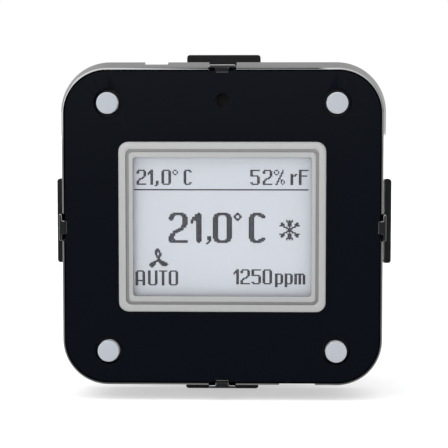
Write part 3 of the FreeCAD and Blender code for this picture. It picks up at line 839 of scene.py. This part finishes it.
class MONITOR_OT_shell(bpy.types.Operator):
    """Front shell: the rim and flared wall round the plate."""

    bl_idname = "monitor.shell"
    bl_label = "Front shell"

    def execute(self, context):
        given = context.scene.monitor_shell
        low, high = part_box("front_shell")
        plate_low, plate_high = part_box("front_plate")
        front, rear = low.y, high.y
        seat = plate_low.y + context.scene.monitor_plate.thickness
        wide, tall = high.x - low.x, high.z - low.z
        seat_wide = plate_high.x - plate_low.x + 2 * given.plate_gap
        seat_tall = plate_high.z - plate_low.z + 2 * given.plate_gap
        seat_corner = given.corner - given.rim_width
        lip_wide, lip_tall = seat_wide + 2 * given.rim_width, seat_tall + 2 * given.rim_width
        bevel = given.rim_bevel
        loops = []

        def add(width, height, corner, y):
            loops.append(rounded(width, height, corner, y, steps=20))

        add(lip_wide - 2 * bevel, lip_tall - 2 * bevel, given.corner - bevel, front)
        add(lip_wide, lip_tall, given.corner, front + bevel)
        for inset, drop in reversed(fillet(given.rear_edge, steps=2)):
            add(wide - 2 * inset, tall - 2 * inset, given.rear_corner - inset, rear - drop)
        inner_wide, inner_tall = wide - 2 * given.wall, tall - 2 * given.wall
        add(inner_wide, inner_tall, given.rear_corner - given.wall, rear)
        add(inner_wide, inner_tall, given.rear_corner - given.wall, seat + given.ledge)
        open_wide, open_tall = seat_wide - 2 * given.ledge, seat_tall - 2 * given.ledge
        add(open_wide, open_tall, seat_corner - given.ledge, seat + given.ledge)
        add(open_wide, open_tall, seat_corner - given.ledge, seat)
        add(seat_wide, seat_tall, seat_corner, seat)
        add(seat_wide, seat_tall, seat_corner, front)
        mesh = bmesh.new()
        skin(mesh, loops, closed=True)
        finish = polished("shell_plastic", given)
        made = piece("shell", mesh, finish)
        past = 1 * MM
        before, behind = front - past, rear + past
        half = given.latch_slot / 2
        edge_x, edge_z = seat_wide / 2, seat_tall / 2
        notch_low = given.notch_place - given.notch_width / 2
        pry_low = given.pry_place - given.pry_width / 2
        carve(made, [
            ((edge_x, before, -half), (wide, behind, half)),
            ((-wide, before, -half), (-edge_x, behind, half)),
            ((-half, before, edge_z), (half, behind, tall)),
            ((-half, before, -tall), (half, behind, -edge_z)),
            ((notch_low, rear - given.notch_depth, tall / 2 - given.wall - past),
             (notch_low + given.notch_width, behind, tall)),
            ((pry_low, before, -tall),
             (pry_low + given.pry_width, behind, -edge_z - given.plate_gap)),
        ])
        soften(made, given.cut_edge)
        smooth(made)
        attach(made, "housing", "front_shell")
        return {"FINISHED"}


class MONITOR_OT_housing(bpy.types.Operator):
    """Rear housing with its wings, vents and flush box."""

    bl_idname = "monitor.housing"
    bl_label = "Rear housing"

    def execute(self, context):
        given = context.scene.monitor_housing
        finish = moulded("housing_plastic", given.tint, given.roughness, grain=0.3 * MM,
                         depth=0.006 * MM, Specular_IOR_Level=LEAST_SHINE)
        made = refined("rear_housing", given.edge, finish, name="housing")
        attach(made, "housing", "rear_housing")
        return {"FINISHED"}


class MONITOR_OT_latches(bpy.types.Operator):
    """Four snap latches that hold the plate."""

    bl_idname = "monitor.latches"
    bl_label = "Latches"

    def execute(self, context):
        given = context.scene.monitor_housing
        finish = polished("latch_plastic", context.scene.monitor_shell)
        for latch in LATCHES:
            attach(refined(latch, given.latch_edge, finish, segments=1), latch, latch)
        return {"FINISHED"}


class MONITOR_OT_display_frame(bpy.types.Operator):
    """Stepped frame round the display."""

    bl_idname = "monitor.display_frame"
    bl_label = "Display frame"

    def execute(self, context):
        given = context.scene.monitor_display
        low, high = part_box("display_frame")
        width, height, middle = display_opening()
        front, back = low.y, high.y
        flange_front = back - given.plate_back
        fine = given.fine_edge
        ring_wide, ring_tall = width - 2 * given.outer_ring, height - 2 * given.outer_ring
        ring_corner = max(given.corner - given.outer_ring, given.view_corner) + given.groove
        island_wide, island_tall = ring_wide - 2 * given.groove, ring_tall - 2 * given.groove
        island_corner = ring_corner - given.groove / 2
        loops = []

        def add(wide, tall, corner, y):
            loops.append(rounded(wide, tall, corner, y, middle, steps=10))

        def edge(wide, tall, corner, y, radius, outward, rising=False):
            """A rounded edge, rising towards the front or falling from it.

            outward is 1 for an outer edge and -1 for an opening's.
            """
            points = fillet(radius)
            for inset, drop in reversed(points) if rising else points:
                inset *= outward
                add(wide - 2 * inset, tall - 2 * inset, corner - inset, y + drop)

        edge(width, height, given.corner, front, given.edge, 1)
        add(width, height, given.corner, flange_front)
        for y in (flange_front, back):
            add(width + 2 * given.flange, height + 2 * given.flange, given.corner + given.flange, y)
        for y in (back, front + given.roof):
            add(width - 2 * given.wall, height - 2 * given.wall, 0, y)
        add(given.view_width, given.view_height, given.view_corner, front + given.roof)
        ring_front, groove_floor = front + given.ring_drop, front + given.groove_depth
        edge(given.view_width, given.view_height, given.view_corner, ring_front, fine, -1,
             rising=True)
        edge(island_wide, island_tall, island_corner, ring_front, fine, 1)
        add(island_wide, island_tall, island_corner, groove_floor)
        add(ring_wide, ring_tall, ring_corner, groove_floor)
        edge(ring_wide, ring_tall, ring_corner, front, fine, -1, rising=True)
        mesh = bmesh.new()
        skin(mesh, loops, closed=True)
        clearance = 0.1 * MM
        # Behind the groove floor the frame is painted at half its tint: painted shade in the groove
        # and deep in the opening.
        finish = moulded("frame_plastic", given.frame_tint, 0.3, grain=0.12 * MM,
                         depth=0.003 * MM, spread=0.03, Specular_IOR_Level=1.0,
                         rear=(groove_floor - clearance, shade(given.frame_tint, 0.5)))
        made = piece("frame", mesh, finish)
        flex_low, flex_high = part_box("lcd_flex")
        past = 0.5 * MM
        carve(made, [((flex_low.x - past, flex_low.y - clearance, flex_low.z),
                      (flex_high.x + past, back + past, middle))])
        smooth(made)
        attach(made, "housing", "display_frame")
        return {"FINISHED"}


class MONITOR_OT_display(bpy.types.Operator):
    """Window, dot film and the dark dots of the readings."""

    bl_idname = "monitor.display"
    bl_label = "Display"

    def execute(self, context):
        given = context.scene.monitor_display
        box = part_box("lcd_polariser")
        x, z = axis_of(box)
        left = x - given.columns * given.pitch / 2
        top = z + given.rows * given.pitch / 2
        middle_y = box[0].y - given.dot_depth / 2
        repaint(frame["nodes"]["lcd_polariser"], dot_film("dot_film", given, left, top))
        mesh = bmesh.new()
        for column, row in dark_dots():
            mesh.verts.new((left + (column + 0.5) * given.pitch, middle_y,
                            top - (row + 0.5) * given.pitch))
        data = bpy.data.meshes.new("readings")
        mesh.to_mesh(data)
        mesh.free()
        dots = bpy.data.objects.new("readings", data)
        context.scene.collection.objects.link(dots)
        ink = moulded("dot_ink", given.ink, 0.45, grain=0.1 * MM, depth=0.0005 * MM,
                      spread=0.05, Specular_IOR_Level=LEAST_SHINE)
        grow(dots, dot_tree(ink), dot_width=given.pitch - given.gap, dot_depth=given.dot_depth)
        attach(dots, "housing")
        clear = pane("window_pane", (0.75, 0.78, 0.82), 0.03, 0.06, Specular_IOR_Level=0.2)
        window = refined("display_window", 0.08 * MM, clear, name="window")
        attach(window, "housing", "display_window")
        return {"FINISHED"}


# Middle of a key's domed tip and the rings round it, as shares of the dome's radius
DOME_RINGS = (0, 0.35, 0.7, 0.9)


class MONITOR_OT_keys(bpy.types.Operator):
    """Four key plungers."""

    bl_idname = "monitor.keys"
    bl_label = "Keys"

    def execute(self, context):
        given = context.scene.monitor_keys
        # Behind the light tip each key is painted in the plate's colour: painted shade inside the
        # key hole.
        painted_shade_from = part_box(KEYS[0])[0].y + given.tip
        finish = moulded("key_plastic", given.tint, 0.36, grain=0.15 * MM, depth=0.002 * MM,
                         spread=0.03, rear=(painted_shade_from, context.scene.monitor_plate.tint),
                         Specular_IOR_Level=LEAST_SHINE)
        for key in KEYS:
            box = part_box(key)
            tip, rear = (corner.y for corner in box)
            collar = tip + given.collar_depth
            collar_back = collar + given.collar_thickness
            flat = given.radius - given.edge
            profile = [(flat * part, tip + given.dome * part ** 2) for part in DOME_RINGS]
            profile += [(given.radius - inset, tip + given.dome + drop)
                        for inset, drop in fillet(given.edge, steps=6)]
            profile += [(given.radius, collar), (given.collar, collar), (given.collar, collar_back),
                        (given.stem, collar_back), (given.stem, rear), (0, rear)]
            mesh = bmesh.new()
            lathe(mesh, profile, *axis_of(box))
            made = piece(key + "_piece", mesh, finish)
            smooth(made)
            attach(made, key, key)
        return {"FINISHED"}


class MONITOR_OT_bus(bpy.types.Operator):
    """Bus connector and its two pins."""

    bl_idname = "monitor.bus"
    bl_label = "Bus connector"

    def execute(self, context):
        white = moulded("connector_plastic", (0.62, 0.62, 0.6), 0.4)
        tin = metal("bus_pin_tin", (0.75, 0.74, 0.7), 0.2, STREAKS_ALONG_Y)
        connector = refined("bus_connector", 0.15 * MM, white, name="connector")
        attach(connector, "housing", "bus_connector")
        attach(refined("bus_pins", 0.06 * MM, tin, name="pins"), "housing", "bus_pins")
        return {"FINISHED"}


class MONITOR_OT_inside(bpy.types.Operator):
    """Finishes of the pieces inside, which keep their CAD shape."""

    bl_idname = "monitor.inside"
    bl_label = "Inner finishes"

    def execute(self, context):
        finishes = inner_finishes()
        for name, node in frame["nodes"].items():
            if not node.hide_render and name != "lcd_polariser":
                repaint(node, finishes[slot_of[name]])
        return {"FINISHED"}


# Stage -----------------------------------------

# Place from the object's middle, width and height of each soft light, in metres
LIGHTS = {"key": ((-0.12, -0.8, 0.11), 0.65, 0.16), "high": ((-0.2, -0.45, 0.45), 0.3, 0.3)}


def soft_box(name, place, target, width, height, power):
    """A rectangular light that faces a point."""
    lamp = bpy.data.lights.new(name, "AREA")
    lamp.shape = "RECTANGLE"
    lamp.size = width
    lamp.size_y = height
    lamp.energy = power
    made = bpy.data.objects.new(name, lamp)
    made.location = place
    made.rotation_euler = (Vector(target) - Vector(place)).to_track_quat("-Z", "Y").to_euler()
    bpy.context.scene.collection.objects.link(made)


def room(settings):
    """World light: a bright band round the sides, dimmer ahead and behind.

    The band is brighter at the top and on the left. The camera sees plain white.
    """
    world = bpy.data.worlds.new("studio")
    world.use_nodes = True
    tree = world.node_tree
    tree.nodes.clear()
    place = tree.nodes.new("ShaderNodeTexCoord").outputs["Generated"]
    split = add_node(tree, "ShaderNodeSeparateXYZ", {0: place})
    right, back, up = (Value(tree, socket) for socket in split.outputs)
    ahead = back.ramp(0.0, -0.3) * up.ramp(0.0, 0.3) * settings.ahead
    beside = back.size().ramp(0.25, 0.12) * (0.75 + (up - right) * 0.35) * settings.beside
    behind = back.ramp(0.1, 0.4) * settings.behind
    level = ahead + beside + behind
    lit = add_node(tree, "ShaderNodeBackground", {"Color": WHITE, "Strength": level})
    plain = add_node(tree, "ShaderNodeBackground", {"Color": WHITE, "Strength": 1.0})
    seen = tree.nodes.new("ShaderNodeLightPath").outputs["Is Camera Ray"]
    mixed = add_node(tree, "ShaderNodeMixShader", {0: seen, 1: lit.outputs[0], 2: plain.outputs[0]})
    add_node(tree, "ShaderNodeOutputWorld", {"Surface": mixed.outputs[0]})
    bpy.context.scene.world = world


class MONITOR_OT_stage(bpy.types.Operator):
    """Camera, pale floor and soft lights."""

    bl_idname = "monitor.stage"
    bl_label = "Stage"

    def execute(self, context):
        given = context.scene.monitor_stage
        scene = context.scene
        scene.view_settings.view_transform = "Standard"
        low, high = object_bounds()
        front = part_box("front_plate")[0].y
        aim = Vector((given.aim_right, front, given.aim_up))
        level = math.cos(given.elevation)
        away = Vector((math.sin(given.azimuth) * level, -math.cos(given.azimuth) * level,
                       math.sin(given.elevation)))
        data = bpy.data.cameras.new("camera")
        data.lens = given.lens
        data.sensor_width = 36.0
        data.clip_start = 0.01
        camera = bpy.data.objects.new("camera", data)
        camera.location = aim + away * given.distance
        camera.rotation_euler = (-away).to_track_quat("-Z", "Y").to_euler()
        scene.collection.objects.link(camera)
        scene.camera = camera

        floor_mesh = bmesh.new()
        bmesh.ops.create_grid(floor_mesh, x_segments=1, y_segments=1, size=3.0)
        clearance = 0.05 * MM
        bmesh.ops.translate(floor_mesh, verts=floor_mesh.verts, vec=(0, 0, low.z - clearance))
        finish = Finish("floor_card", Emission_Color=WHITE, Emission_Strength=given.floor_glow,
                        Specular_IOR_Level=LEAST_SHINE)
        cloud = finish.noise(60 * MM)
        finish.feed(finish.blend(cloud, (0.5, 0.5, 0.502), (0.53, 0.53, 0.532)), "Base Color")
        finish.roughen(0.8, (cloud, 0.1))
        floor = piece("floor", floor_mesh, finish.material)
        floor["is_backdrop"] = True

        room(given)
        middle = (low + high) / 2
        for name, (place, width, height) in LIGHTS.items():
            power = getattr(given, name + "_light")
            soft_box(name, middle + Vector(place), middle, width, height, power)
        return {"FINISHED"}


# Sidebar and registration ----------------------

STEPS = (MONITOR_OT_plate, MONITOR_OT_shell, MONITOR_OT_housing, MONITOR_OT_latches,
         MONITOR_OT_display_frame, MONITOR_OT_display, MONITOR_OT_keys, MONITOR_OT_bus,
         MONITOR_OT_inside, MONITOR_OT_stage)
SETTINGS = {"monitor_plate": PlateSettings, "monitor_shell": ShellSettings,
            "monitor_housing": HousingSettings, "monitor_display": DisplaySettings,
            "monitor_keys": KeySettings, "monitor_stage": StageSettings}


class MONITOR_PT_build(bpy.types.Panel):
    """Lists the steps that build the monitor."""

    bl_label = "Air Monitor"
    bl_idname = "MONITOR_PT_build"
    bl_space_type = "VIEW_3D"
    bl_region_type = "UI"
    bl_category = "Air Monitor"

    def draw(self, context):
        for step in STEPS:
            self.layout.operator(step.bl_idname)


def register():
    for name, group in SETTINGS.items():
        bpy.utils.register_class(group)
        setattr(bpy.types.Scene, name, PointerProperty(type=group))
    for step in STEPS:
        bpy.utils.register_class(step)
    bpy.utils.register_class(MONITOR_PT_build)


def unregister():
    bpy.utils.unregister_class(MONITOR_PT_build)
    for step in reversed(STEPS):
        bpy.utils.unregister_class(step)
    for name, group in SETTINGS.items():
        delattr(bpy.types.Scene, name)
        bpy.utils.unregister_class(group)


def main():
    register()
    for step in STEPS:
        group, name = step.bl_idname.split(".")
        getattr(getattr(bpy.ops, group), name)()


if __name__ == "__main__":
    main()
